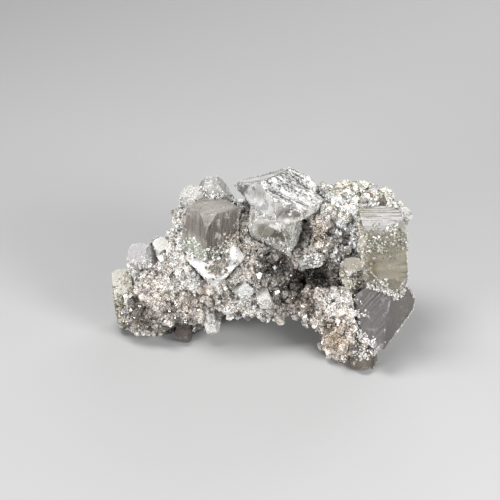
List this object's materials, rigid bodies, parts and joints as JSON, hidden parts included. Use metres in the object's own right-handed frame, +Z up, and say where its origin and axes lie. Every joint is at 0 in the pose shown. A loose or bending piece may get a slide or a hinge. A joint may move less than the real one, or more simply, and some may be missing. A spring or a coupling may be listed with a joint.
{
  "type": "apophyllite cluster",
  "caption": "Arched mineral specimen: a lumpy matrix crusted with small blocky crystals, carrying large clear and pearly tetragonal crystals on its top and front.",
  "frame": {"origin": "on the surface the cluster rests on, under the middle of its bounding box", "axes": "+X to the viewer's right along the cluster's length, +Y to its broken back, +Z up"},
  "size_m": [0.1014, 0.0486, 0.0625],
  "materials": {
    "druse": "rough crust of small crystals on broken matrix",
    "clear": "clear, vitreous",
    "cloudy": "cloudy lilac grey, pearly",
    "tinted": "translucent, faint green beige tint",
    "smoky": "dark smoky, translucent"
  },
  "bodies": {
    "root": {"crown_crystal": "clear", "dome_crystal": "cloudy", "peak_crystal": "clear", "shoulder_crystal": "clear", "prism_crystal": "tinted", "slab_crystal": "cloudy", "foot_crystal": "tinted", "end_crystal": "cloudy", "side_crystal": "cloudy", "white_crystal": "cloudy", "cradle_crystal": "clear", "ledge_crystal": "clear", "corner_crystal": "clear", "beige_crystal": "tinted", "cube_crystal": "clear", "clear_crystal": "clear", "bead_crystal": "clear", "smoky_crystal": "smoky", "druse_matrix": "druse"}
  },
  "joints": []
}
